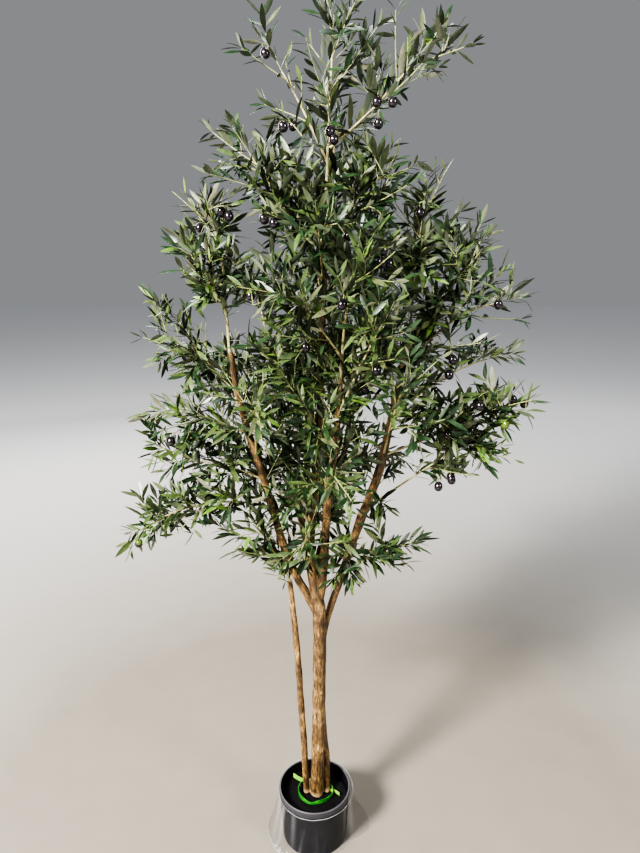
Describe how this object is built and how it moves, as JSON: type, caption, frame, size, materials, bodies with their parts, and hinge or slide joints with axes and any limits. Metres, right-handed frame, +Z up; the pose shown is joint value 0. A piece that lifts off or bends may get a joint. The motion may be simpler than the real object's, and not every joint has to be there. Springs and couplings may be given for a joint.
{
  "type": "artificial potted olive tree",
  "caption": "Artificial olive tree in a small black pot: slim stems that fork into boughs, under an open crown of narrow leaves with olives.",
  "frame": {"origin": "middle of the pot's flat underside, on the surface the pot stands on", "axes": "+Z up along the stems, -Y towards the side the picture shows, +X to that view's right"},
  "size_m": [0.9957, 0.7534, 2.122],
  "materials": {
    "bark": "satin, mottled golden brown",
    "foliage": "satin dark green leaves, paler below",
    "pot": "satin black",
    "ballast": "rough black",
    "tie": "bright green strap",
    "film": "clear, creased"
  },
  "bodies": {
    "root": {"main_stem": "bark", "right_stem": "bark", "left_stem": "bark", "left_bough": "bark", "middle_bough": "bark", "back_left_bough": "bark", "back_right_bough": "bark", "crown_tip": "foliage", "crown_right": "foliage", "crown_left": "foliage", "crown_back": "foliage", "upper_left": "foliage", "upper_right": "foliage", "upper_front": "foliage", "upper_back": "foliage", "core_right": "foliage", "core_back": "foliage", "core_left": "foliage", "core_low": "foliage", "skirt_front": "foliage", "skirt_back": "foliage", "left_crest": "foliage", "left_shoulder": "foliage", "left_wing": "foliage", "left_arm": "foliage", "left_low": "foliage", "left_sprig": "foliage", "left_front": "foliage", "right_crest": "foliage", "right_upper": "foliage", "right_wing": "foliage", "right_arm": "foliage", "right_hand": "foliage", "right_low": "foliage", "right_sprig": "foliage", "right_front": "foliage", "middle_crest": "foliage", "middle_left": "foliage", "middle_right": "foliage", "core_front": "foliage", "middle_low": "foliage", "skirt_left": "foliage", "back_left_crest": "foliage", "back_left_wing": "foliage", "back_left_low": "foliage", "back_middle": "foliage", "back_right_crest": "foliage", "back_right_wing": "foliage", "back_right_low": "foliage", "pot": "pot", "ballast_fill": "ballast", "green_tie": "tie", "clear_film": "film"}
  },
  "joints": []
}
